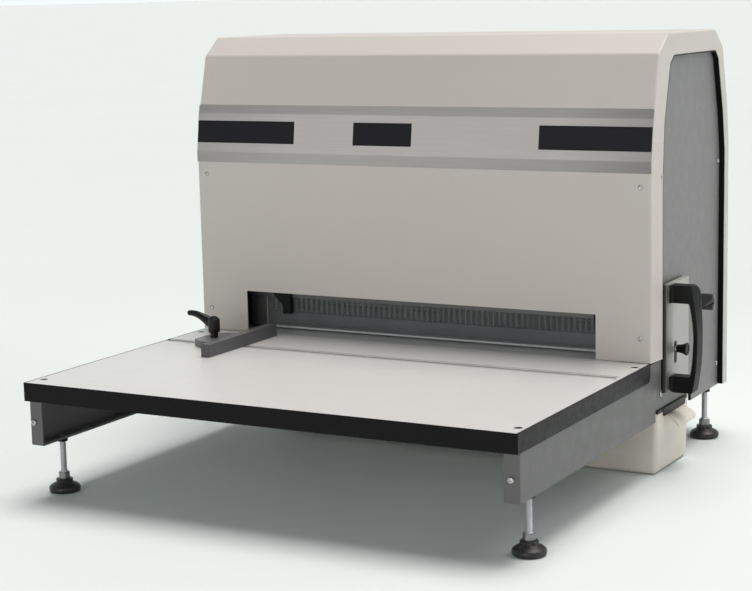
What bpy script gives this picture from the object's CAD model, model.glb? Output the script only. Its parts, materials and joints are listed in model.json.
import json
import math

import bmesh
import bpy
from mathutils import Matrix, Vector


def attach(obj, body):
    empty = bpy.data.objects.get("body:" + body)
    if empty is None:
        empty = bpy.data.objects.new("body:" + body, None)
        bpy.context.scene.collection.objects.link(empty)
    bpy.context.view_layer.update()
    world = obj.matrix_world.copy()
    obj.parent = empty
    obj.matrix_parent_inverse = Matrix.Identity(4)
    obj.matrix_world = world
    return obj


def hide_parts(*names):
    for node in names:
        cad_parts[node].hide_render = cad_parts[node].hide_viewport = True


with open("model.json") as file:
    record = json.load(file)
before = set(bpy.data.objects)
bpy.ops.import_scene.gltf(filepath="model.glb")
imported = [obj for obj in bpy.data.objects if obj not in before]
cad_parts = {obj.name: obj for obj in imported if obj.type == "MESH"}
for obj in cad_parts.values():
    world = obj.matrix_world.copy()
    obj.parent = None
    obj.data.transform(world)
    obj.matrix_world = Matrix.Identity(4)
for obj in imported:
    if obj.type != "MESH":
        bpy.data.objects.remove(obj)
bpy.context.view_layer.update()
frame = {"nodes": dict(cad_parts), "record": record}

nodes = frame["nodes"]
scene = bpy.context.scene

# Lengths below are in millimetres with Y = 0 on the front face of the covers and X = 0 in the middle of the table,
# as in the CAD source. D() takes them to metres in the row frame.
SX, SY = -16.4, 48.65


def D(x, y, z):
    return Vector(((x + SX) * 0.001, (y + SY) * 0.001, z * 0.001))


# ---------------------------------------------------------------- materials
class Mat:
    """A Principled material built from procedural nodes, in object coordinates, which are metres of the row frame."""

    def __init__(self, name, color, rough=0.5, metal=0.0, spec=0.5, coat=0.0, coat_rough=0.1, aniso=0.0):
        self.m = bpy.data.materials.new(name)
        self.m.use_nodes = True
        self.t = self.m.node_tree
        self.t.nodes.clear()
        self.out = self.t.nodes.new("ShaderNodeOutputMaterial")
        self.p = self.t.nodes.new("ShaderNodeBsdfPrincipled")
        self.t.links.new(self.p.outputs[0], self.out.inputs[0])
        self.color = color
        self.p.inputs["Base Color"].default_value = (*color, 1)
        self.p.inputs["Roughness"].default_value = rough
        self.p.inputs["Metallic"].default_value = metal
        self.p.inputs["Specular IOR Level"].default_value = spec
        self.p.inputs["Coat Weight"].default_value = coat
        self.p.inputs["Coat Roughness"].default_value = coat_rough
        self.p.inputs["Anisotropic"].default_value = aniso
        self.coord = self.t.nodes.new("ShaderNodeTexCoord").outputs["Object"]
        self.normal = None
        self.tone = None

    def n(self, kind, **kw):
        nd = self.t.nodes.new("ShaderNode" + kind)
        for k, v in kw.items():
            setattr(nd, k, v)
        return nd

    def link(self, a, b):
        self.t.links.new(a, b)

    def mapped(self, scale):
        mp = self.n("Mapping")
        self.link(self.coord, mp.inputs["Vector"])
        mp.inputs["Scale"].default_value = scale if hasattr(scale, "__len__") else (scale,) * 3
        return mp.outputs[0]

    def noise(self, scale, detail=3.0, rough=0.55, stretch=None, seed=0.0):
        """Noise of a number of features a metre; stretch makes it a grain along an axis."""
        nz = self.n("TexNoise", noise_dimensions="3D")
        nz.inputs["Scale"].default_value = 1.0
        nz.inputs["Detail"].default_value = detail
        nz.inputs["Roughness"].default_value = rough
        s = (scale,) * 3 if stretch is None else tuple(scale * k for k in stretch)
        mp = self.n("Mapping")
        self.link(self.coord, mp.inputs["Vector"])
        mp.inputs["Scale"].default_value = s
        mp.inputs["Location"].default_value = (seed, seed * 0.7, seed * 1.3)
        self.link(mp.outputs[0], nz.inputs["Vector"])
        return nz.outputs["Fac"]

    def voronoi(self, scale, seed=0.0):
        vz = self.n("TexVoronoi")
        vz.inputs["Scale"].default_value = 1.0
        mp = self.n("Mapping")
        self.link(self.coord, mp.inputs["Vector"])
        mp.inputs["Scale"].default_value = (scale,) * 3
        mp.inputs["Location"].default_value = (seed, seed * 0.7, seed * 1.3)
        self.link(mp.outputs[0], vz.inputs["Vector"])
        return vz.outputs["Distance"]

    def span(self, fac, a, b, lo=0.3, hi=0.7):
        mr = self.n("MapRange")
        self.link(fac, mr.inputs["Value"])
        mr.inputs["From Min"].default_value = lo
        mr.inputs["From Max"].default_value = hi
        mr.inputs["To Min"].default_value = a
        mr.inputs["To Max"].default_value = b
        return mr.outputs["Result"]

    def mul(self, a, b, op="MULTIPLY"):
        mt = self.n("Math", operation=op)
        for i, v in enumerate((a, b)):
            if isinstance(v, (int, float)):
                mt.inputs[i].default_value = v
            else:
                self.link(v, mt.inputs[i])
        return mt.outputs[0]

    def shade(self, fac, lo=0.3, hi=0.7, amount=0.05):
        """Varies the brightness of the colour by amount each way."""
        f = self.span(fac, 1 - amount, 1 + amount, lo, hi)
        self.tone = f if self.tone is None else self.mul(self.tone, f)
        return self

    def tint(self, fac, color, lo=0.45, hi=0.75, most=1.0):
        """Mixes a second colour in where fac is high."""
        self.tints = getattr(self, "tints", []) + [(self.span(fac, 0.0, most, lo, hi), color)]
        return self

    def roughness(self, fac, a, b, lo=0.3, hi=0.7):
        self.link(self.span(fac, a, b, lo, hi), self.p.inputs["Roughness"])
        return self

    def bump(self, fac, dist, strength=1.0):
        b = self.n("Bump")
        b.inputs["Distance"].default_value = dist
        b.inputs["Strength"].default_value = strength
        self.link(fac, b.inputs["Height"])
        if self.normal is not None:
            self.link(self.normal, b.inputs["Normal"])
        self.normal = b.outputs[0]
        return self

    def done(self):
        col = None
        base = (*self.color, 1)
        for f, c in getattr(self, "tints", []):
            mx = self.n("Mix", data_type="RGBA")
            self.link(f, mx.inputs[0])
            if col is None:
                mx.inputs[6].default_value = base
            else:
                self.link(col, mx.inputs[6])
            mx.inputs[7].default_value = (*c, 1)
            col = mx.outputs[2]
        if self.tone is not None:
            sc = self.n("VectorMath", operation="SCALE")
            if col is None:
                sc.inputs[0].default_value = self.color
            else:
                self.link(col, sc.inputs[0])
            self.link(self.tone, sc.inputs["Scale"])
            col = sc.outputs[0]
        if col is not None:
            self.link(col, self.p.inputs["Base Color"])
        if self.normal is not None:
            self.link(self.normal, self.p.inputs["Normal"])
        return self.m


def powder(name, color, rough=0.42, grain=1100.0, height=0.00006, spec=0.45, dust=0.0):
    m = Mat(name, color, rough, spec=spec)
    m.shade(m.noise(2.5, 3), amount=0.018)
    m.shade(m.noise(1500, 2, seed=3.1), amount=0.025)
    g = m.noise(grain, 3, 0.6, seed=1.7)
    m.roughness(m.noise(60, 4, seed=5.0), rough - 0.05, rough + 0.06)
    m.bump(g, height, 0.55)
    m.bump(m.noise(140, 2, seed=8.0), 0.00012, 0.25)
    if dust:
        m.tint(m.noise(9, 6, 0.7, seed=12.0), tuple(min(1, c * 1.25 + 0.02) for c in color), 0.55, 0.85, dust)
    return m.done()


def plastic(name, color, rough=0.4, grain=1500.0, height=0.00004, spec=0.5, coat=0.0, wear=0.15):
    m = Mat(name, color, rough, spec=spec, coat=coat, coat_rough=0.12)
    m.shade(m.noise(14, 4), amount=0.10)
    m.tint(m.noise(35, 6, 0.75, seed=4.4), tuple(min(1, c * 1.8 + 0.02) for c in color), 0.58, 0.9, wear)
    m.roughness(m.noise(90, 5, 0.65, seed=2.0), rough - 0.07, rough + 0.09)
    m.bump(m.noise(grain, 2, seed=6.6), height, 0.6)
    return m.done()


def grained(name, color, rough=0.3, along="X", metal=1.0, lines=2600.0, amount=0.10, height=0.000012, aniso=0.5, blotch=0.05, spec=0.5,
            steps=()):
    """Metal or print with fine lines along one axis. steps are (axis, from, to, tone, tone), in metres of the row frame."""
    st = {"X": (0.006, 1, 1), "Y": (1, 0.006, 1), "Z": (1, 1, 0.006)}[along]
    m = Mat(name, color, rough, metal=metal, aniso=aniso, spec=spec)
    fine = m.noise(lines, 3, 0.7, stretch=st)
    wide = m.noise(lines * 0.22, 3, 0.6, stretch=tuple(k if k == 1 else k * 1.5 for k in st), seed=7.0)
    m.shade(fine, 0.3, 0.7, amount)
    m.shade(wide, 0.3, 0.7, amount * 0.6)
    m.shade(m.noise(7, 3, seed=3.0), amount=blotch)
    for axis, lo, hi, a, b in steps:
        xyz = m.n("SeparateXYZ")
        m.link(m.coord, xyz.inputs[0])
        m.tone = m.mul(m.tone, m.span(xyz.outputs[axis], a, b, lo, hi))
    m.roughness(m.noise(lines * 0.5, 3, 0.6, stretch=st, seed=11.0), rough - 0.06, rough + 0.09)
    m.bump(fine, height, 0.7)
    if aniso:
        tg = m.n("Tangent", direction_type="RADIAL", axis=along)
        m.link(tg.outputs[0], m.p.inputs["Tangent"])
        m.p.inputs["Anisotropic Rotation"].default_value = 0.25
    return m.done()


def zinc(name, color=(0.62, 0.63, 0.65), rough=0.28):
    m = Mat(name, color, rough, metal=1.0)
    m.shade(m.noise(260, 4, 0.65), amount=0.06)
    m.tint(m.noise(90, 5, 0.7, seed=2.0), (0.50, 0.47, 0.40), 0.55, 0.8, 0.35)
    m.roughness(m.noise(420, 4, seed=5.0), rough - 0.06, rough + 0.12)
    m.bump(m.noise(1400, 2, seed=9.0), 0.00002, 0.5)
    return m.done()


def cast(name, color, rough=0.6, metal=0.0):
    m = Mat(name, color, rough, metal=metal, spec=0.4)
    m.shade(m.noise(30, 5, 0.65), amount=0.10)
    m.roughness(m.noise(80, 5), rough - 0.1, rough + 0.12)
    m.bump(m.noise(500, 4, 0.6, seed=2.0), 0.00018, 0.5)
    return m.done()


def laminate(name, color=(0.615, 0.615, 0.611)):
    m = Mat(name, color, 0.3, spec=0.5)
    m.shade(m.noise(1400, 3, 0.7), amount=0.025)
    m.shade(m.noise(4200, 2, 0.5, seed=3.0), amount=0.03)
    m.shade(m.noise(3, 3, seed=5.0), amount=0.01)
    m.roughness(m.noise(25, 5, 0.65, seed=7.0), 0.30, 0.40)
    m.bump(m.noise(2200, 3, 0.6, seed=1.0), 0.00003, 0.5)
    return m.done()


def frosted(name, color):
    m = Mat(name, color, 0.35, spec=0.5)
    m.shade(m.noise(300, 4, 0.7), amount=0.12)
    m.roughness(m.noise(500, 3, seed=2.0), 0.25, 0.5)
    m.bump(m.noise(1800, 2, seed=4.0), 0.00004, 0.6)
    return m.done()


def clear(name, color=(0.93, 0.96, 0.96), haze=0.06, through=(0.93, 0.955, 0.955)):
    """Clear sheet: passes light straight through, and mirrors by its own Fresnel."""
    m = Mat(name, color, 0.06, spec=0.5)
    t = m.t
    m.roughness(m.noise(40, 5, 0.7, seed=2.0), 0.03, 0.12)
    m.shade(m.noise(30, 4, seed=1.0), amount=0.04)
    mat = m.done()
    tr = m.n("BsdfTransparent")
    tr.inputs[0].default_value = (*through, 1)
    fr = m.n("Fresnel")
    fr.inputs["IOR"].default_value = 1.49
    sm = m.span(m.noise(18, 5, 0.7, seed=6.0), haze * 0.7, haze * 1.5)
    f = m.mul(fr.outputs[0], sm, "ADD")
    mx = m.n("MixShader")
    m.link(f, mx.inputs[0])
    m.link(tr.outputs[0], mx.inputs[1])
    m.link(m.p.outputs[0], mx.inputs[2])
    m.link(mx.outputs[0], m.out.inputs[0])
    return mat


M = {}
PLATE_Y = 0.1002      # front edge of the cassette's end plate
M["cover_cream"] = powder("cover_cream", (0.602, 0.566, 0.530), 0.46)
M["panel_grey"] = powder("panel_grey", (0.208, 0.204, 0.205), 0.42, grain=900, height=0.00009)
M["rail_grey"] = powder("rail_grey", (0.118, 0.117, 0.117), 0.40, grain=900, height=0.00008)
M["guide_grey"] = powder("guide_grey", (0.100, 0.101, 0.107), 0.34, grain=1000, height=0.00006)
M["inner_steel"] = powder("inner_steel", (0.16, 0.165, 0.17), 0.5)
M["blank_grey"] = powder("blank_grey", (0.062, 0.061, 0.060), 0.5)
M["brushed_strip"] = grained("brushed_strip", (0.545, 0.524, 0.513), 0.44, "X", lines=3000, amount=0.05, blotch=0.02,
                             steps=[("Z", 0.4614, 0.4628, 1.0, 0.97), ("Z", 0.4082, 0.4096, 0.74, 1.0), ("X", -0.36, -0.20, 0.90, 1.05),
                                    ("X", -0.12, 0.20, 1.0, 0.88), ("X", 0.20, 0.325, 1.0, 0.68)])
M["strip_black"] = grained("strip_black", (0.010, 0.010, 0.013), 0.42, "X", metal=0.0, lines=3000, amount=0.12, aniso=0.0, spec=0.22)
M["track_aluminium"] = grained("track_aluminium", (0.56, 0.56, 0.555), 0.50, "X", metal=0.2, lines=2600, amount=0.05)
M["guard_aluminium"] = grained("guard_aluminium", (0.15, 0.15, 0.152), 0.45, "X", lines=2200, amount=0.06)
M["tool_steel"] = grained("tool_steel", (0.66, 0.655, 0.67), 0.36, "X", lines=1200, amount=0.14, blotch=0.10)
M["pin_steel"] = grained("pin_steel", (0.66, 0.665, 0.67), 0.36, "Z", lines=2600, amount=0.06, aniso=0.0)
M["plate_steel"] = grained("plate_steel", (0.47, 0.455, 0.435), 0.52, "Z", metal=0.8, lines=2200, amount=0.05, blotch=0.04,
                           steps=[("Y", PLATE_Y, PLATE_Y + 0.009, 0.42, 0.70), ("Y", PLATE_Y + 0.009, PLATE_Y + 0.026, 1.0, 1.42),
                                  ("Z", 0.12, 0.24, 1.0, 1.10)])
M["spindle_chrome"] = zinc("spindle_chrome", (0.78, 0.78, 0.80), 0.12)
M["zinc"] = zinc("zinc", (0.52, 0.515, 0.51), 0.22)
M["zinc_rod"] = zinc("zinc_rod", (0.62, 0.63, 0.66), 0.44)
M["zinc_dark"] = zinc("zinc_dark", (0.26, 0.26, 0.265), 0.34)
M["table_laminate"] = laminate("table_laminate")
M["black_edge"] = plastic("black_edge", (0.003, 0.003, 0.0031), 0.36, grain=900, spec=0.15, wear=0.03)
M["black_plastic"] = plastic("black_plastic", (0.004, 0.004, 0.0042), 0.38, spec=0.2, wear=0.03)
M["gloss_black"] = plastic("gloss_black", (0.050, 0.050, 0.051), 0.18, height=0.00001, coat=0.8, wear=0.05)
M["lever_black"] = plastic("lever_black", (0.007, 0.007, 0.0075), 0.32, spec=0.28, height=0.00002, coat=0.1, wear=0.05)
M["pad_black"] = plastic("pad_black", (0.022, 0.021, 0.021), 0.40, grain=1000)
M["bin_cream"] = plastic("bin_cream", (0.72, 0.672, 0.595), 0.38, grain=1000, wear=0.05)
M["control_plastic"] = plastic("control_plastic", (0.45, 0.45, 0.44), 0.45)
M["motor_grey"] = cast("motor_grey", (0.12, 0.13, 0.14))
M["bronze"] = cast("bronze", (0.55, 0.40, 0.20), 0.35, 1.0)
M["guard_clear"] = clear("guard_clear", through=(0.58, 0.60, 0.61), haze=0.032)
M["guard_edge"] = frosted("guard_edge", (0.55, 0.58, 0.58))
M["screw_black"] = plastic("screw_black", (0.010, 0.010, 0.0105), 0.35, grain=1800, spec=0.3)

record = frame["record"]
node_slot = {s["node"]: s["material_slot"] for s in record["subparts"]}
for n, o in nodes.items():
    o.data.materials.clear()
    o.data.materials.append(M[node_slot[n]])


# ---------------------------------------------------------------- mesh helpers
def add(name, verts, faces, mat, body, slot=None, rep=(), smooth=40.0):
    me = bpy.data.meshes.new(name)
    me.from_pydata([D(*v) for v in verts], [], faces)
    return add_mesh(name, me, mat, body, rep, smooth)


def add_mesh(name, me, mat, body, rep=(), smooth=40.0):
    bm = bmesh.new()
    bm.from_mesh(me)
    bmesh.ops.remove_doubles(bm, verts=bm.verts, dist=1e-7)
    bmesh.ops.recalc_face_normals(bm, faces=bm.faces)
    bm.to_mesh(me)
    bm.free()
    ob = bpy.data.objects.new(name, me)
    scene.collection.objects.link(ob)
    me.materials.clear()
    me.materials.append(M[mat])
    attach(ob, body)
    if rep:
        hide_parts(*rep)
    ob["smooth_deg"] = smooth
    return ob


def bevel(ob, width, seg=3, angle=30.0, clamp=True):
    b = ob.modifiers.new("bevel", "BEVEL")
    b.width = width * 0.001
    b.segments = seg
    b.limit_method = "ANGLE"
    b.angle_limit = math.radians(angle)
    b.use_clamp_overlap = clamp
    b.miter_outer = "MITER_ARC"
    return ob


def settle(ob):
    """Applies the modifiers, then shades smooth except over sharp edges, with normals weighted by face area."""
    dg = bpy.context.evaluated_depsgraph_get()
    me = bpy.data.meshes.new_from_object(ob.evaluated_get(dg), preserve_all_data_layers=False, depsgraph=dg)
    old = ob.data
    ob.modifiers.clear()
    ob.data = me
    me.name = ob.name
    bpy.data.meshes.remove(old)
    me.shade_smooth()
    me.set_sharp_from_angle(angle=math.radians(ob["smooth_deg"]))
    w = ob.modifiers.new("normals", "WEIGHTED_NORMAL")
    w.keep_sharp = True
    w.mode = "FACE_AREA"
    return ob


def prism(pts, axis, a, b):
    """Vertices and faces of a straight prism. axis X takes (y, z) points, Y takes (x, z), Z takes (x, y)."""
    put = {"X": lambda p, c: (c, p[0], p[1]), "Y": lambda p, c: (p[0], c, p[1]), "Z": lambda p, c: (p[0], p[1], c)}[axis]
    n = len(pts)
    vs = [put(p, a) for p in pts] + [put(p, b) for p in pts]
    fs = [tuple(range(n)), tuple(range(2 * n - 1, n - 1, -1))]
    fs += [(i, (i + 1) % n, (i + 1) % n + n, i + n) for i in range(n)]
    return vs, fs


def merge(*parts):
    vs, fs = [], []
    for v, f in parts:
        k = len(vs)
        vs += list(v)
        fs += [tuple(i + k for i in q) for q in f]
    return vs, fs


def round_path(pts, r, seg=6, closed=False):
    """Corners replaced by arcs of radius r; each corner gives seg + 1 points."""
    out = []
    n = len(pts)
    for i, p in enumerate(pts):
        if not closed and i in (0, n - 1):
            out.append(tuple(p))
            continue
        rr = r[i] if hasattr(r, "__len__") else r
        a, b = Vector(pts[i - 1]), Vector(pts[(i + 1) % n])
        c = Vector(p)
        u, v = (a - c), (b - c)
        lu, lv = u.length, v.length
        u.normalize()
        v.normalize()
        half = math.acos(max(-1, min(1, u.dot(v)))) / 2
        if half > math.radians(89.7) or rr <= 0:
            out += [tuple(c)] * (seg + 1) if rr > 0 else [tuple(c)]
            continue
        t = min(rr / math.tan(half), 0.49 * lu, 0.49 * lv)
        rr = t * math.tan(half)
        centre = c + (u + v).normalized() * (rr / math.sin(half))
        p0, p1 = c + u * t, c + v * t
        a0 = math.atan2(p0.y - centre.y, p0.x - centre.x)
        a1 = math.atan2(p1.y - centre.y, p1.x - centre.x)
        da = (a1 - a0 + math.pi) % (2 * math.pi) - math.pi
        for k in range(seg + 1):
            th = a0 + da * k / seg
            out.append((centre.x + rr * math.cos(th), centre.y + rr * math.sin(th)))
    return out


def offset_line(pts, d):
    out = []
    n = len(pts)
    for i in range(n):
        ds = []
        if i > 0:
            ds.append((pts[i][0] - pts[i - 1][0], pts[i][1] - pts[i - 1][1]))
        if i < n - 1:
            ds.append((pts[i + 1][0] - pts[i][0], pts[i + 1][1] - pts[i][1]))
        ns = [(-y / math.hypot(x, y), x / math.hypot(x, y)) for x, y in ds if math.hypot(x, y) > 1e-9]
        nx, ny = sum(a for a, _ in ns), sum(b for _, b in ns)
        k = len(ns) / (nx * nx + ny * ny) if len(ns) == 1 else 2.0 / (nx * nx + ny * ny)
        out.append((pts[i][0] + d * nx * k, pts[i][1] + d * ny * k))
    return out


def basis(axis):
    a = Vector(axis).normalized()
    t = Vector((0, 0, 1)) if abs(a.z) < 0.9 else Vector((1, 0, 0))
    u = t.cross(a).normalized()
    return a, u, a.cross(u)


def lathe(centre, axis, prof, seg=48, start=0.0, shape=None):
    """Turned solid: prof is (radius, distance along axis) from one end on the axis to the other. shape(angle, r, h) may change a radius."""
    a, u, v = basis(axis)
    c = Vector(centre)
    vs, rings = [], []
    for r, h in prof:
        if r < 1e-6:
            rings.append([len(vs)])
            vs.append(c + a * h)
            continue
        ring = []
        for k in range(seg):
            th = 2 * math.pi * k / seg + start
            rr = shape(th, r, h) if shape else r
            ring.append(len(vs))
            vs.append(c + a * h + (u * math.cos(th) + v * math.sin(th)) * rr)
        rings.append(ring)
    fs = []
    for p, q in zip(rings, rings[1:]):
        if len(p) == 1 and len(q) == 1:
            continue
        for k in range(seg):
            j = (k + 1) % seg
            if len(p) == 1:
                fs.append((p[0], q[j], q[k]))
            elif len(q) == 1:
                fs.append((p[k], p[j], q[0]))
            else:
                fs.append((p[k], p[j], q[j], q[k]))
    if len(rings[0]) > 1:
        fs.append(tuple(rings[0][::-1]))
    if len(rings[-1]) > 1:
        fs.append(tuple(rings[-1]))
    return [tuple(x) for x in vs], fs


def hex_radius(th, flats, turn=0.0):
    k = (th + turn) % (math.pi / 3) - math.pi / 6
    return flats / 2 / math.cos(k)


def thread(centre, axis, h0, h1, r, pitch, depth, seg=20):
    """A real helical thread with closed ends, a little inside radius r at its root."""
    a, u, v = basis(axis)
    c = Vector(centre)
    steps = int(round((h1 - h0) / pitch * seg))
    vs, fs = [], []
    prof = ((-0.5, -depth), (-0.16, 0.0), (0.06, 0.0), (0.36, -depth))
    for k in range(steps + 1):
        th = 2 * math.pi * k / seg
        h = h0 + pitch * k / seg
        fade = min(1.0, k / (seg * 0.6), (steps - k) / (seg * 0.6))
        for dh, dr in prof:
            rr = r - depth + (depth + dr) * fade
            hh = min(max(h + dh * pitch, h0), h1)
            vs.append(c + a * hh + (u * math.cos(th) + v * math.sin(th)) * rr)
    for k in range(steps):
        i, j = 4 * k, 4 * (k + 1)
        for q in range(3):
            fs.append((i + q, j + q, j + q + 1, i + q + 1))
        if k + seg < steps + 1:
            m = 4 * (k + seg)
            if m + 4 < len(vs):
                fs.append((i + 3, j + 3, m + 4, m))
    vs = [tuple(x) for x in vs]
    core = lathe(centre, axis, [(0, h0), (r - depth - 0.02, h0), (r - depth - 0.02, h1), (0, h1)], seg)
    return merge((vs, fs), core)


def screw(centre, axis, r, h, recess="hex", size=3.0, deep=None, washer=0.0):
    """Pan head with a hexagon, cross or slot recess, standing on centre and looking along axis."""
    deep = deep or h * 0.6
    a, u, v = basis(axis)
    c = Vector(centre)
    seg = 48
    vs, fs = [], []

    def ring(fr, hh):
        k0 = len(vs)
        for k in range(seg):
            th = 2 * math.pi * k / seg
            rr = fr(th)
            vs.append(c + a * hh + (u * math.cos(th) + v * math.sin(th)) * rr)
        return list(range(k0, k0 + seg))

    def rec(th):
        if recess == "hex":
            return hex_radius(th, size)
        # cross: narrow arms, rounded into each other
        k = abs((th + math.pi / 4) % (math.pi / 2) - math.pi / 4)
        w = size * 0.16
        return min(size / 2, w / max(math.sin(k), 1e-3)) if k > 1e-3 else size / 2

    rings = [ring(lambda t: r * 0.985, 0.0), ring(lambda t: r, h * 0.12), ring(lambda t: r, h * 0.42),
             ring(lambda t: r * 0.95, h * 0.68), ring(lambda t: r * 0.84, h * 0.88), ring(lambda t: r * 0.68, h),
             ring(lambda t: max(rec(t) * 1.06, rec(t) + 0.08), h), ring(rec, h * 0.96), ring(lambda t: rec(t) * 0.97, h - deep)]
    for p, q in zip(rings, rings[1:]):
        for k in range(seg):
            j = (k + 1) % seg
            fs.append((p[k], p[j], q[j], q[k]))
    vs.append(c + a * (h - deep - 0.12 * size))
    last = len(vs) - 1
    for k in range(seg):
        fs.append((rings[-1][k], rings[-1][(k + 1) % seg], last))
    fs.append(tuple(rings[0][::-1]))
    out = ([tuple(x) for x in vs], fs)
    return out


# ---------------------------------------------------------------- covers
A_FRONT = [(0.0, 152.9), (0.0, 409.0), (7.5, 462.0)]
A_TOP = [(0.0, 409.0), (7.5, 462.0), (28.0, 542.0), (61.0, 566.5), (244.0, 566.5), (277.0, 542.0), (297.5, 462.0), (305.0, 409.0)]
A_REAR = [(297.5, 462.0), (305.0, 409.0), (305.0, 70.0)]
W_FRONT = [(43.0, 151.0), (43.0, 385.0), (49.0, 455.0)]
W_TOP = [(43.0, 385.0), (49.0, 455.0), (69.0, 527.0), (84.0, 537.6), (247.0, 537.6), (258.5, 527.0), (279.0, 455.0), (288.0, 400.0)]
W_REAR = [(279.0, 455.0), (288.0, 400.0), (286.0, 70.0)]
SEAM = 430.0


def level(pts, i, z):
    a, c = (pts[0], pts[1]) if i == 0 else (pts[-1], pts[-2])
    y = a[0] + (c[0] - a[0]) * (z - a[1]) / (c[1] - a[1])
    out = list(pts)
    out[i] = (y, z)
    return out


def resample_z(pts, zs):
    """Adds points on an open path at given heights on its straight upright runs."""
    out = [pts[0]]
    for a, b in zip(pts, pts[1:]):
        ins = sorted({z for z in zs if min(a[1], b[1]) + 1e-6 < z < max(a[1], b[1]) - 1e-6}, reverse=a[1] > b[1])
        for z in ins:
            out.append((a[0] + (b[0] - a[0]) * (z - a[1]) / (b[1] - a[1]), z))
        out.append(b)
    return out


def cover(name, A, W, rA, rW, holes=(), lip=8.0, half=341.0):
    """Folded sheet cover: the face over the outline A, side rims between A and the window edge W, and a return lip.
    holes are (x0, x1, z0, z1) openings in the face, on upright runs of A."""
    a = round_path(A, rA, 6)
    w = round_path(W, rW, 6)
    zs = sorted({z for h in holes for z in h[2:]})
    # the same number of points on both: matched before the extra heights go in
    n = len(a)
    assert len(w) == n, (name, len(a), len(w))
    pa, pw = [a[0]], [w[0]]
    for i in range(1, n):
        (y0, z0), (y1, z1) = a[i - 1], a[i]
        ks = [(z - z0) / (z1 - z0) for z in zs if min(z0, z1) + 1e-6 < z < max(z0, z1) - 1e-6] if abs(z1 - z0) > 1e-6 else []
        for k in sorted(ks):
            pa.append((y0 + (y1 - y0) * k, z0 + (z1 - z0) * k))
            pw.append((w[i - 1][0] + (w[i][0] - w[i - 1][0]) * k, w[i - 1][1] + (w[i][1] - w[i - 1][1]) * k))
        pa.append(a[i])
        pw.append(w[i])
    xs = sorted({-half, half} | {x for h in holes for x in h[:2]})
    vs, fs = [], []
    grid = {}
    for i, (y, z) in enumerate(pa):
        for j, x in enumerate(xs):
            grid[i, j] = len(vs)
            vs.append((x, y, z))
    for i in range(len(pa) - 1):
        zc = (pa[i][1] + pa[i + 1][1]) / 2
        for j in range(len(xs) - 1):
            xc = (xs[j] + xs[j + 1]) / 2
            if any(h[0] < xc < h[1] and h[2] < zc < h[3] for h in holes):
                continue
            fs.append((grid[i, j], grid[i, j + 1], grid[i + 1, j + 1], grid[i + 1, j]))
    for s, j in ((-1, 0), (1, len(xs) - 1)):
        win, ret = [], []
        for y, z in pw:
            win.append(len(vs))
            vs.append((s * half, y, z))
            ret.append(len(vs))
            vs.append((s * (half - lip), y, z))
        for i in range(len(pa) - 1):
            q1 = (grid[i, j], grid[i + 1, j], win[i + 1], win[i])
            q2 = (win[i], win[i + 1], ret[i + 1], ret[i])
            fs += [q1, q2] if s > 0 else [q1[::-1], q2[::-1]]
    # drop what the openings leave unused
    used = sorted({i for f in fs for i in f})
    back = {o: k for k, o in enumerate(used)}
    vs = [vs[i] for i in used]
    fs = [tuple(back[i] for i in f) for f in fs]
    return vs, fs


def make_cover(name, A, W, rA, rW, node, holes=(), thick=1.8):
    vs, fs = cover(name, A, W, rA, rW, holes)
    me = bpy.data.meshes.new(name)
    me.from_pydata([D(*v) for v in vs], [], fs)
    bm = bmesh.new()
    bm.from_mesh(me)
    bmesh.ops.remove_doubles(bm, verts=bm.verts, dist=1e-6)
    bmesh.ops.dissolve_degenerate(bm, edges=bm.edges, dist=1e-6)
    bmesh.ops.recalc_face_normals(bm, faces=bm.faces)
    # face the outside: the top or front face has to look away from the middle of the cover
    c = D(0, 150, 300)
    f = max(bm.faces, key=lambda f: f.calc_area())
    if f.normal.dot(f.calc_center_median() - c) < 0:
        bmesh.ops.reverse_faces(bm, faces=bm.faces)
    bm.to_mesh(me)
    bm.free()
    ob = bpy.data.objects.new(name, me)
    scene.collection.objects.link(ob)
    me.materials.append(M["cover_cream"])
    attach(ob, "frame")
    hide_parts(node)
    ob["smooth_deg"] = 35.0
    bevel(ob, 2.6, 4, 60.0)
    s = ob.modifiers.new("thick", "SOLIDIFY")
    s.thickness = thick * 0.001
    s.offset = -1.0
    s.use_even_offset = True
    bevel(ob, 0.35, 2, 70.0)
    return settle(ob)


af = level(A_FRONT, -1, SEAM - 0.03)
wf = level(W_FRONT, -1, SEAM - 0.03)
make_cover("front_cover_sheet", af, wf, 9.0, 9.0, "front_cover", holes=[(-265.5, 265.5, 100.0, 211.5)])
at = level(level(A_TOP, 0, SEAM + 0.03), -1, SEAM + 0.03)
wt = level(level(W_TOP, 0, SEAM + 0.03), -1, SEAM + 0.03)
make_cover("top_cover_sheet", at, wt, [0, 9, 7, 7, 7, 7, 9, 0], [0, 9, 5, 4, 4, 5, 9, 0], "top_cover")
ar = level(A_REAR, 0, SEAM - 0.03)
wr = level(W_REAR, 0, SEAM - 0.03)
vents = [(120 + 14 * i, 125 + 14 * i, 250.0, 310.0) for i in range(9)]
make_cover("rear_cover_sheet", ar, wr, 9.0, 9.0, "rear_cover",
           holes=vents + [(-252, -223, 106, 134), (-203, -182, 108, 132), (-148.2, -131.8, 111.8, 128.2)])

# ---------------------------------------------------------------- pieces that stand for plain nodes
def piece(name, vf, mat, body, rep=(), slot=None, smooth=40.0, bev=None, seg=3, ang=30.0):
    ob = add(name, vf[0], vf[1], mat, body, slot, rep, smooth)
    if bev:
        bevel(ob, bev, seg, ang)
    return settle(ob)


def soften(node, width, seg=2, ang=40.0):
    """Breaks the sharp edges of a CAD node with a small bevel."""
    ob = nodes[node]
    bevel(ob, width, seg, ang)
    ob.modifiers["bevel"].harden_normals = False
    ob.modifiers["bevel"].miter_outer = "MITER_SHARP"


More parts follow.
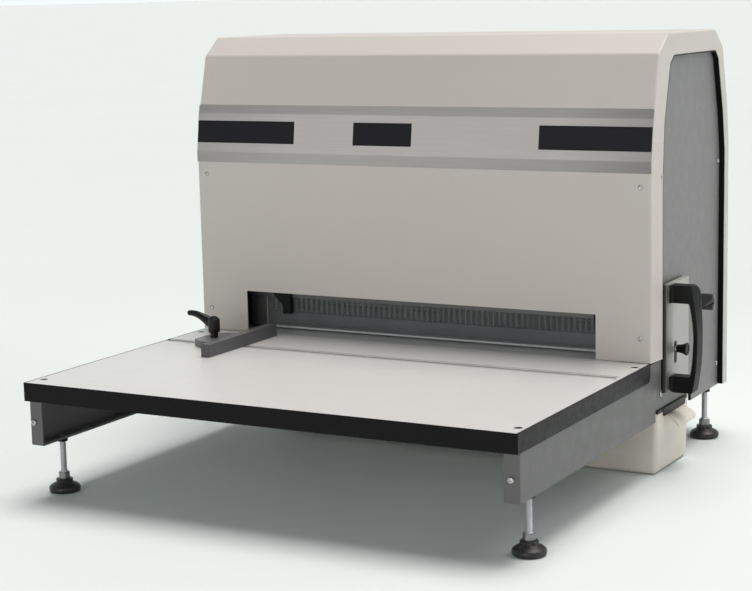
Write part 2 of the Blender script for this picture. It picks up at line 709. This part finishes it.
def loft(rings, closed_ring=True, caps=True):
    """Rings with the same number of points, joined in order."""
    vs, fs = [], []
    n = len(rings[0])
    for r in rings:
        vs += [tuple(p) for p in r]
    for k in range(len(rings) - 1):
        for i in range(n if closed_ring else n - 1):
            j = (i + 1) % n
            fs.append((k * n + i, k * n + j, (k + 1) * n + j, (k + 1) * n + i))
    if caps:
        fs.append(tuple(range(n))[::-1])
        fs.append(tuple(range((len(rings) - 1) * n, len(rings) * n)))
    return vs, fs


# brushed strip folded over the front
strip = round_path([(0.0, 394.0), (0.0, 409.0), (7.5, 462.0), (10.575, 474.0)], 9.0, 6)
piece("label_strip_folded", prism(strip + offset_line(strip, 0.55)[::-1], "X", -341.0, 341.0), "brushed_strip", "frame",
      ["label_strip"], bev=0.2, seg=2, ang=50.0)
slope = [(7.5 * (z - 409.0) / 53.0, z) for z in (421.2, 452.0)]
bars = [prism(offset_line(slope, 0.5) + offset_line(slope, 0.68)[::-1], "X", a, b)
        for a, b in ((-340.6, -181.0), (-87.5, 2.0), (187.0, 340.6))]
piece("label_bars_dark", merge(*bars), "strip_black", "frame", ["label_bars"], bev=0.08, seg=2)

# black trim on the window edge of the side rims
win = round_path([(43.0, 110.0), (43.0, 385.0), (49.0, 455.0), (69.0, 527.0), (84.0, 537.6), (247.0, 537.6), (258.5, 527.0),
                  (279.0, 455.0), (288.0, 400.0), (286.02, 70.3)], [0, 9, 9, 5, 4, 4, 5, 9, 9, 0], 6)
for tag, s in (("left", -1), ("right", 1)):
    trim = offset_line(win, -0.12) + offset_line(win, -0.95)[::-1]
    a, b = sorted((s * 333.1, s * 340.5))
    piece("window_trim_" + tag, prism(trim, "X", a, b), "black_edge", "frame", slot="black_edge", bev=0.2, seg=2, ang=50.0)

# ---- levelling feet
PAD = round_path([(0.0, 0.0), (17.6, 0.0), (19.4, 1.2), (20.2, 4.5), (19.6, 7.2), (16.4, 9.8), (11.4, 12.2), (10.6, 13.0), (10.9, 16.4),
                  (10.2, 17.0), (4.1, 17.0), (4.1, 5.8), (0.0, 5.8)], [0, 1.0, 2.0, 2.5, 2.0, 3.0, 0.6, 0.6, 0.5, 0.4, 0.3, 0.3, 0], 4)
for tag, fx, fy in (("front_left", -327.3, -349.2), ("front_right", 327.3, -349.2), ("rear_left", -325.8, 252.0),
                    ("rear_right", 325.8, 252.0)):
    body = "foot_" + tag

    def nut_shape(th, r, h):
        return min(r, hex_radius(th, 13.0, 0.2)) if r > 5 else r

    def grip(th, r, h):
        return r * (1 - 0.075 * max(0.0, math.cos(8 * th)) ** 3) if 12.9 < h < 16.9 and r > 10 else r

    rod = lathe((fx, fy, 0), (0, 0, 1), [(0, 6.0), (3.5, 6.0), (3.9, 6.6), (3.9, 27.0), (3.55, 27.6), (3.55, 72.8), (2.9, 73.4), (0, 73.4)], 32)
    helix = thread((fx, fy, 0), (0, 0, 1), 27.4, 73.0, 3.98, 1.25, 0.40, 20)
    nut = lathe((fx, fy, 0), (0, 0, 1), [(3.8, 17.6), (4.6, 17.3), (6.5, 17.3), (7.1, 17.6), (7.5, 18.2), (7.5, 24.6), (7.1, 25.3),
                                         (6.3, 25.7), (4.5, 25.7), (3.8, 25.3)], 72, shape=nut_shape)
    flange = lathe((fx, fy, 0), (0, 0, 1), [(3.9, 25.6), (4.5, 25.5), (5.6, 25.9), (5.6, 26.9), (5.2, 27.3), (3.9, 27.3)], 48)
    piece("foot_rod_" + tag, merge(rod, helix, flange), "zinc_rod", body, ["foot_stud_" + tag], slot="zinc", smooth=38)
    piece("foot_lock_nut_" + tag, nut, "zinc_dark", body, slot="zinc", smooth=30)
    piece("foot_plate_" + tag, lathe((fx, fy, 0), (0, 0, 1), PAD, 96, shape=grip), "pad_black", body, ["foot_pad_" + tag], smooth=50)

# ---- screws
heads = []
for x in (-326.4, 326.4):
    for z in (183.8, 376.3):
        heads.append(screw((x, 0.0, z), (0, -1, 0), 3.4, 1.8, "hex", 2.6))
for x in (-326.4, 326.4, 0):
    for z in (95, 376.3):
        heads.append(screw((x, 305.0, z), (0, 1, 0), 3.4, 2.0, "cross", 3.6))
for s in (-1, 1):
    heads.append(screw((s * 341.0, 37.5, 386.4), (s, 0, 0), 3.0, 1.4, "hex", 2.2))
    for y, z in ((281, 385.5), (279.4, 100.6)):
        heads.append(screw((s * 333.0, y, z), (s, 0, 0), 3.4, 2.0, "hex", 2.6))
piece("cover_screw_heads", merge(*heads), "zinc", "frame", ["cover_screws"], smooth=35)
heads = [screw((x, -397.0, z), (0, -1, 0), 4.0, 2.6, "hex", 3.2) for x, z in ((-332, 100.3), (328, 98.0))]
heads += [screw((s * 338.5, 40, 104.6), (s, 0, 0), 3.4, 2.0, "hex", 2.6) for s in (-1, 1)]
piece("rail_screw_heads", merge(*heads), "zinc", "frame", ["rail_screws"], smooth=35)
ZT = 152.4
heads = []
for x in (-328.6, 328.6):
    for y in (-378.0, -25.6):
        def soc(th, r, h):
            return hex_radius(th, 3.0) if 1.4 < r < 1.8 else r
        heads.append(lathe((x, y, ZT), (0, 0, 1), [(0, -20.0), (2.5, -20.0), (2.5, -2.7), (5.0, -0.75), (5.05, -0.4), (4.9, -0.3),
                                                   (1.75, -0.3), (1.5, -0.45), (1.5, -1.9), (0, -2.4)], 48, shape=soc))
piece("table_screw_heads", merge(*heads), "screw_black", "frame", ["table_screws"], slot="zinc", smooth=35)

# ---- guard at the slot
piece("guard_sheet", prism([(36.0, 157.6), (36.0, 231.0), (40.0, 231.0), (40.0, 157.6)], "X", -256.0, 256.0), "guard_clear", "frame",
      ["guard_screen"], bev=0.25, seg=2)
piece("guard_sheet_edge", prism([(36.5, 156.8), (36.0, 157.3), (36.0, 158.2), (40.0, 158.2), (40.0, 157.3), (39.5, 156.8)], "X", -256.0, 256.0),
      "guard_edge", "frame", slot="guard_clear", bev=0.15, seg=2)
clip = merge(prism(round_path([(-210, 177), (-210, 228.8), (-237, 228.8), (-237, 203), (-223, 189.5), (-223, 177)], [0, 1.5, 3, 4, 4, 0], 4),
                   "Y", 26.0, 32.9), prism([(-222, 177.6), (-222, 199.0), (-211, 199.0), (-211, 177.6)], "Y", 31.8, 35.9))
piece("guard_clip_left", clip, "black_plastic", "frame", ["guard_brackets"], bev=0.8, seg=3)
piece("guard_clip_screw_left", screw((-223.5, 26.0, 214), (0, -1, 0), 3.2, 1.7, "hex", 2.5), "zinc_dark", "frame", slot="zinc", smooth=35)
clip = merge(prism([(252.3, 199.0), (252.3, 228.8), (260, 228.8), (260, 199.0)], "Y", 26.0, 32.9),
             prism([(252.8, 187.0), (252.8, 199.5), (259.5, 199.5), (259.0, 187.0)], "Y", 26.8, 35.9))
piece("guard_clip_right", clip, "black_plastic", "frame", bev=0.8, seg=3)
# bright rolled edge under the clear sheet
piece("guard_sheet_bead", prism(round_path([(35.4, 155.4), (35.4, 157.8), (40.4, 157.8), (40.4, 155.4)], [0, 0.6, 0.6, 0], 3), "X", -256.0, 256.0),
      "guard_edge", "frame", slot="guard_clear", bev=0.2, seg=2)

# plain blank beside the clear sheet, behind the left end of the slot
piece("guard_blank_left", prism([(35.9, 156.0), (35.9, 213.0), (37.4, 213.0), (37.4, 156.0)], "X", -281.0, -256.5), "blank_grey", "frame",
      slot="inner_steel", bev=0.3, seg=2)

# ---- clamp lever: turned hub and a swept arm, grown together into one casting
def clamp():
    hub = lathe((-260, -94, 0), (0, 0, 1), [(0, 168.4), (7.4, 168.4), (8.2, 169.2), (8.3, 171.0), (8.3, 186.0), (8.1, 187.0), (7.4, 187.8),
                                            (0, 187.8)], 48)
    path = [(-262.0, 180.2), (-266.0, 182.2), (-270.0, 184.3), (-274.0, 186.4), (-278.0, 188.4), (-282.0, 190.2), (-286.0, 191.6),
            (-290.0, 192.6), (-294.0, 193.1), (-298.8, 193.1)]
    size = [(7.2, 7.8), (6.9, 7.5), (6.3, 6.9), (5.6, 6.1), (5.0, 5.5), (4.6, 5.0), (4.2, 4.6), (4.0, 4.35), (3.8, 4.05), (3.6, 3.8)]
    rings = []
    for i, ((x, z), (ry, rz)) in enumerate(zip(path, size)):
        x0, z0 = path[max(0, i - 1)]
        x1, z1 = path[min(len(path) - 1, i + 1)]
        t = Vector((x1 - x0, z1 - z0)).normalized()
        nx, nz = -t.y, t.x
        rings.append([(x + nx * rz * math.sin(a), -94 + ry * math.cos(a), z + nz * rz * math.sin(a))
                      for a in [2 * math.pi * k / 32 for k in range(32)]])
    arm = loft(rings)
    ball = lathe((-299.1, -94, 193.1), (0, 0, 1), [(3.9 * math.sin(math.pi * k / 16), -3.9 * math.cos(math.pi * k / 16)) for k in range(17)], 32)
    ob = add("clamp_lever_arm", *merge(hub, arm, ball), "lever_black", "clamp_lever_body", None, ["clamp_lever"], 60)
    r = ob.modifiers.new("grow", "REMESH")
    r.mode = "VOXEL"
    r.voxel_size = 0.00045
    r.use_smooth_shade = True
    s = ob.modifiers.new("relax", "CORRECTIVE_SMOOTH")
    s.iterations = 14
    s.use_only_smooth = True
    s.smooth_type = "LENGTH_WEIGHTED"
    return settle(ob)


clamp()
v = merge(lathe((-260, -94, 0), (0, 0, 1), [(3.1, 162.1), (5.1, 162.1), (5.35, 162.4), (5.35, 167.8), (5.1, 168.2), (5.1, 169.4), (3.1, 169.4)], 48),
          lathe((-260, -94, 0), (0, 0, 1), [(6.0, 187.5), (5.9, 188.7), (5.5, 189.2), (5.0, 189.3), (5.0, 188.9), (4.8, 188.7), (0, 188.7)], 48),
          screw((-260, -94, 188.5), (0, 0, 1), 4.7, 2.3, "cross", 5.4))
piece("clamp_lever_collar", v, "lever_black", "clamp_lever_body", smooth=35)

# ---- pull handle
def handle():
    n_c, n_a = 8, 14
    foot = (342.5, 343.0, 343.7, 344.6, 345.8, 347.5, 352.0, 358.0)

    def bend(p0, c, p3, n):
        """Corner between two runs, drawn as a cubic from p0 to p3 with its handles on the corner point c."""
        p1 = (p0[0] + 0.55 * (c[0] - p0[0]), p0[1] + 0.55 * (c[1] - p0[1]))
        p2 = (p3[0] + 0.55 * (c[0] - p3[0]), p3[1] + 0.55 * (c[1] - p3[1]))
        out = []
        for k in range(n + 1):
            t = k / n
            w = ((1 - t) ** 3, 3 * t * (1 - t) ** 2, 3 * t * t * (1 - t), t ** 3)
            out.append(tuple(sum(a * q[d] for a, q in zip(w, (p0, p1, p2, p3))) for d in (0, 1)))
        return out

    def outer_x(z, t):
        """Outer side of the grip: t runs from 0 on the front face to 1 on the back."""
        d = z - 175.0
        front = 378.9 - (9.4 * (d / 70.3) ** 1.6 if d > 0 else 6.3 * (-d / 69.6) ** 2.4)
        e = z - 178.0
        back = 380.1 - (1.25 * (e / 38.0) ** 2 if e > 0 else 2.6 * (max(0.0, -e - 10.0) / 40.0) ** 2)
        return front + (back - front) * t

    def inner_x(z):
        d = z - 170.0
        return 374.9 - (6.2 * (d / 51.4) ** 2 if d > 0 else 3.7 * (d / 43.0) ** 2)

    ys = [66.0, 66.1, 66.35, 66.75, 67.3, 68.6, 70.4, 72.8, 75.4, 78.0, 80.4, 82.4, 84.0, 85.0, 85.8, 86.4, 86.8, 87.0]
    rings = []
    for y in ys:
        t = (y - 66.0) / 21.0

        def inset(r0, r1):
            if y < 66.0 + r0:
                return r0 - math.sqrt(max(0.0, r0 * r0 - (r0 - (y - 66.0)) ** 2))
            if y > 87.0 - r1:
                return r1 - math.sqrt(max(0.0, r1 * r1 - (r1 - (87.0 - y)) ** 2))
            return 0.0

        e = inset(1.3, 3.0)
        bulge = 4.6 * (1 - ((y - 76.5) / 10.5) ** 2)
        # outer path
        lo, hi = 102.5 + e, 244.2 - e
        rt, rb = 1.6 + 8.4 * t ** 1.2, 1.8 + 2.4 * t
        X = lambda z: outer_x(z, t) - e
        o = []
        for x in foot:
            k = max(0.0, 347.5 - x)
            o.append((x, lo + 5.0 - math.sqrt(25.0 - k * k)))
        o += bend((X(lo) - rb, lo), (X(lo), lo), (X(lo + rb), lo + rb), n_c)
        o += [(X(z), z) for z in [lo + rb + (hi - rt - lo - rb) * k / n_a for k in range(1, n_a)]]
        o += bend((X(hi - rt), hi - rt), (X(hi), hi), (X(hi) - rt, hi), n_c)
        o += [(x, hi) for x in foot[::-1]]
        # inner path
        e = inset(1.1, 1.6)
        lo, hi, r = 124.1 - e, 220.6 + e, 3.0
        X = lambda z: inner_x(z) - bulge + e
        i = [(x, lo) for x in foot]
        i += bend((X(lo) - r, lo), (X(lo), lo), (X(lo + r), lo + r), n_c)
        i += [(X(z), z) for z in [lo + r + (hi - lo - 2 * r) * k / n_a for k in range(1, n_a)]]
        i += bend((X(hi - r), hi - r), (X(hi), hi), (X(hi) - r, hi), n_c)
        i += [(x, hi) for x in foot[::-1]]
        # the legs flare where they meet the plate
        wide = lambda x: y + (2.0 * t - 4.2 * (1 - t)) * max(0.0, 1 - (x - 342.5) / 3.2) ** 2
        rings.append([(x, wide(x), z) for x, z in o] + [(x, wide(x), z) for x, z in i[::-1]])
    m = len(rings[0])
    h = m // 2
    vs = [p for r in rings for p in r]
    fs = []
    for k in range(len(rings) - 1):
        for i in range(m):
            j = (i + 1) % m
            fs.append((k * m + i, k * m + j, (k + 1) * m + j, (k + 1) * m + i))
    for k, flip in ((0, False), (len(rings) - 1, True)):
        for i in range(h - 1):
            q = (k * m + i, k * m + i + 1, k * m + m - 2 - i, k * m + m - 1 - i)
            fs.append(q[::-1] if flip else q)
    return vs, fs


piece("pull_handle_grip", handle(), "black_plastic", "cassette", ["pull_handle"], smooth=50)

# ---- lock spindle and knob
piece("lock_spindle_rod", merge(
    lathe((0, 86, 157.5), (1, 0, 0), [(0, 331.5), (3.0, 331.5), (3.0, 331.8), (7.0, 331.8), (7.0, 336.2), (3.0, 336.2), (3.0, 343.0), (4.6, 343.0),
                                      (4.6, 344.8), (4.3, 345.0), (3.0, 345.0), (3.0, 356.2), (2.7, 356.5), (0, 356.5)], 48)),
      "spindle_chrome", "lock_spindle_body", ["lock_spindle"], smooth=35)
KNOB = round_path([(3.05, 345.4), (5.4, 345.4), (5.3, 348.0), (6.0, 352.0), (7.6, 355.8), (8.6, 357.8), (8.2, 359.0), (5.6, 359.3), (5.2, 358.7),
                   (0.0, 358.5)], [0, 0.5, 4, 6, 5, 0.9, 0.5, 0.4, 0.4, 0], 5)
piece("lock_knob_cap", lathe((0, 86, 157.5), (1, 0, 0), KNOB + [], 64), "black_plastic", "lock_knob_body", ["lock_knob"], smooth=40)

# ---- waste bin
def bin_shell():
    # outline in X, Z; the body runs from y0 to y1
    y0, y1 = 25.5, 145.0
    out = [(340.3, 81.0), (338.0, 0.4), (176.0, 0.4), (118.0, 14.0), (-268.0, 14.0), (-269.5, 81.0)]
    vs, fs = [], []
    for y in (y0, y1):
        vs += [(x, y, z) for x, z in out]
    n = len(out)
    for i in range(n - 1):
        fs.append((i, i + 1, n + i + 1, n + i))
    fs.append(tuple(range(n))[::-1])
    fs.append(tuple(range(n, 2 * n)))
    me = bpy.data.meshes.new("bin")
    me.from_pydata([D(*v) for v in vs], [], fs)
    ob = add_mesh("waste_bin_body", me, "bin_cream", "bin", ["waste_bin"], 40)
    # the shell is open at the top, so its normals are turned to look outwards
    c = D(100, 85, 45)
    f = max(ob.data.polygons, key=lambda f: f.area)
    if f.normal.dot(f.center - c) < 0:
        ob.data.flip_normals()
    bevel(ob, 6.5, 6, 50.0)
    s = ob.modifiers.new("wall", "SOLIDIFY")
    s.thickness = 0.0024
    s.offset = -1.0
    s.use_even_offset = True
    bevel(ob, 0.6, 2, 60.0)
    ob.modifiers[-1].name = "edge"
    return settle(ob)


bin_shell()


def lip():
    base = [(338.4, 75.0), (340.2, 75.0), (345.6, 74.6), (350.6, 73.1), (354.8, 70.8), (358.0, 67.9), (360.0, 64.5), (360.8, 60.5)]
    mid = round_path(base, 5.0, 3)
    inn = offset_line(mid, -2.3)
    vs, fs = [], []
    # rounded outer corners: the lip is a little narrower at its tip
    n = len(mid)
    rows = []
    for k, y in enumerate((49.5, 50.3, 52.0, 55.0, 60.0, 83.0, 106.0, 111.0, 114.0, 115.7, 116.5)):
        e = min(y - 49.5, 116.5 - y)
        cutb = 0 if e > 5 else (5 - e) ** 2 / 25 * 5.0
        row = []
        for (x, z), (xi, zi) in zip(mid, inn):
            zz = max(z, 60.5 + cutb)
            f = 0 if z >= zz else 1
            row.append((x if not f else 360.8 - (zz - 60.5) * 0.13, y, zz))
        for (x, z), (xi, zi) in list(zip(mid, inn))[::-1]:
            zz = max(zi, 60.5 + cutb)
            f = 0 if zi >= zz else 1
            row.append((xi if not f else 358.5 - (zz - 60.5) * 0.13, y, zz))
        rows.append(row)
    return loft(rows)


piece("waste_bin_lip", lip(), "bin_cream", "bin", smooth=50, bev=0.7, seg=3, ang=50.0)
v = merge(prism([(-268.0, 22.5), (330.0, 22.5), (330.0, 26.5), (-268.0, 26.5)], "Z", 78.5, 81.0),
          prism([(-268.0, 144.0), (338.0, 144.0), (338.0, 149.4), (-268.0, 149.4)], "Z", 78.5, 81.0),
          prism([(332.5, 142.6), (337.8, 142.6), (337.8, 149.4), (332.5, 149.4)], "Z", 80.4, 85.3),
          prism([(332.5, 22.6), (337.8, 22.6), (337.8, 29.5), (332.5, 29.5)], "Z", 80.4, 84.6))
piece("waste_bin_flanges", v, "bin_cream", "bin", bev=0.6, seg=3)

# black moulded strip on the rim of the bin's front wall
v = merge(prism(round_path([(45.0, 85.6), (45.0, 77.0), (46.9, 75.1), (126.1, 75.1), (128.0, 77.0), (128.0, 85.6)], [0, 1, 1, 1, 1, 0], 3), "X", 338.6, 341.6),
          prism([(24.0, 82.2), (24.7, 81.5), (46.0, 81.5), (46.0, 85.6), (24.0, 85.6)], "X", 338.4, 341.0),
          prism([(127.0, 81.5), (135.3, 81.5), (136.0, 82.2), (136.0, 85.6), (127.0, 85.6)], "X", 338.4, 341.0))
piece("bin_rim_strip", v, "black_plastic", "bin", bev=0.5, seg=3)
for tag, s, y in (("left", -1, 152.0), ("right", 1, 174.0)):
    a, b = sorted((s * 329.2, s * 333.0))
    piece("panel_edge_" + tag, prism([(y - 0.8, 68.9), (y, 68.9), (y, 104.0), (y - 0.8, 104.0)], "X", a, b), "black_edge", "frame",
          slot="black_edge", bev=0.2, seg=2)
# dark seams beside the track
for tag, y0, y1 in (("rear", -87.2, -86.0), ("front", -102.2, -101.7)):
    piece("track_seam_" + tag, prism([(y0, 151.6), (y0, 152.44), (y1, 152.44), (y1, 151.6)], "X", -334.6, 334.6), "black_edge", "frame",
          slot="black_edge", bev=0.06, seg=2)

# small breaks on the edges of the plain nodes
for nd, w in (("table_board", 0.35), ("table_edge_band", 0.5), ("table_track", 0.25), ("side_rail_left", 0.5), ("side_rail_right", 0.5),
              ("guide_bar", 0.5), ("guide_base", 0.4), ("cassette_port", 0.3), ("side_latch_knob", 0.7), ("guard_angle", 0.3),
              ("pin_guide", 0.3), ("power_inlet", 0.4), ("rocker_switch", 0.5), ("pedal_socket", 0.4), 
              ("foot_nuts", 0.3), ("bin_runners", 0.3), ("side_panel_right", 0.4), ("side_panel_left", 0.4)):
    soften(nd, w)

# ---------------------------------------------------------------- camera, lights, floor
cam_data = bpy.data.cameras.new("camera")
cam = bpy.data.objects.new("camera", cam_data)
scene.collection.objects.link(cam)
scene.camera = cam
cam_data.sensor_width = 36.0
cam_data.sensor_fit = "HORIZONTAL"
cam_data.lens = 1829.84 * 36.0 / 752.0
cam_data.clip_start, cam_data.clip_end = 0.05, 2000.0
az, el, roll = math.radians(29.095), math.radians(9.355), math.radians(-1.347)
d = Vector((-math.sin(az) * math.cos(el), math.cos(az) * math.cos(el), -math.sin(el)))
rt = Vector((math.cos(az), math.sin(az), 0))
up = rt.cross(d)
r2 = rt * math.cos(roll) + up * math.sin(roll)
u2 = -rt * math.sin(roll) + up * math.cos(roll)
cam.matrix_world = Matrix(((r2.x, u2.x, -d.x, 0), (r2.y, u2.y, -d.y, 0), (r2.z, u2.z, -d.z, 0), (0, 0, 0, 1)))
cam.location = D(1143.14, -2154.26, 623.35)

floor_me = bpy.data.meshes.new("floor")
ring = [(400 * math.cos(2 * math.pi * k / 96), 400 * math.sin(2 * math.pi * k / 96), 0.0) for k in range(96)]
floor_me.from_pydata(ring, [], [tuple(range(96))])
floor = bpy.data.objects.new("floor", floor_me)
scene.collection.objects.link(floor)
fm = Mat("floor_pale", (0.74, 0.785, 0.785), 0.6, spec=0.15)
fm.shade(fm.noise(1.2, 3), amount=0.008)
fm.bump(fm.noise(300, 2), 0.0001, 0.3)
floor_me.materials.append(fm.done())

world = bpy.data.worlds.new("studio")
scene.world = world
world.use_nodes = True
wt = world.node_tree
bg = wt.nodes["Background"]
# a bright band at the horizon, as a lit backdrop gives, and a dimmer ceiling
tc = wt.nodes.new("ShaderNodeTexCoord")
sep = wt.nodes.new("ShaderNodeSeparateXYZ")
wt.links.new(tc.outputs["Generated"], sep.inputs[0])
rp = wt.nodes.new("ShaderNodeValToRGB")
wt.links.new(sep.outputs["Z"], rp.inputs[0])
rp.color_ramp.elements[0].position = 0.0
rp.color_ramp.elements[0].color = (0.86, 0.93, 0.94, 1)
rp.color_ramp.elements[1].position = 0.42
rp.color_ramp.elements[1].color = (0.30, 0.31, 0.31, 1)
e = rp.color_ramp.elements.new(0.16)
e.color = (0.86, 0.93, 0.94, 1)
# dimmer on the operator's side, where the room is dark
side = wt.nodes.new("ShaderNodeMapRange")
wt.links.new(sep.outputs["Y"], side.inputs["Value"])
side.inputs["From Min"].default_value = -0.8
side.inputs["From Max"].default_value = 0.15
side.inputs["To Min"].default_value = 0.36
side.inputs["To Max"].default_value = 1.0
dim = wt.nodes.new("ShaderNodeVectorMath")
dim.operation = "SCALE"
wt.links.new(rp.outputs[0], dim.inputs[0])
wt.links.new(side.outputs["Result"], dim.inputs["Scale"])
wt.links.new(dim.outputs[0], bg.inputs[0])
bg.inputs[1].default_value = 1.0


def sun(name, az_deg, el_deg, wide, power, color=(1, 1, 1)):
    """Large soft light far away: az is the side that it stands on, from -Y towards +X."""
    ld = bpy.data.lights.new(name, "SUN")
    ld.energy = power
    ld.angle = math.radians(wide)
    ld.color = color
    ob = bpy.data.objects.new(name, ld)
    scene.collection.objects.link(ob)
    a, e = math.radians(az_deg), math.radians(el_deg)
    to = Vector((math.sin(a) * math.cos(e), -math.cos(a) * math.cos(e), math.sin(e)))
    ob.rotation_mode = "QUATERNION"
    ob.rotation_quaternion = to.to_track_quat("Z", "Y")
    return ob


sun("over", 165, 78, 36, 2.45, (1.0, 0.960, 0.925))
sun("front_fill", 4, 14, 26, 0.56, (1.0, 0.960, 0.930))

# large softbox at the right, above and a little behind the machine
ld = bpy.data.lights.new("softbox_right", "AREA")
ld.shape = "SQUARE"
ld.size = 0.7
ld.energy = 4.0
ld.color = (1.0, 0.95, 0.90)
box_light = bpy.data.objects.new("softbox_right", ld)
scene.collection.objects.link(box_light)
box_light.location = (1.30, 0.32, 1.35)
box_light.rotation_mode = "QUATERNION"
box_light.rotation_quaternion = (Vector((1.30, 0.32, 1.35)) - Vector((0.32, 0.15, 0.30))).to_track_quat("Z", "Y")

scene.view_settings.view_transform = "Standard"
scene.view_settings.look = "None"
scene.view_settings.exposure = 0.1
scene.view_settings.gamma = 1.0
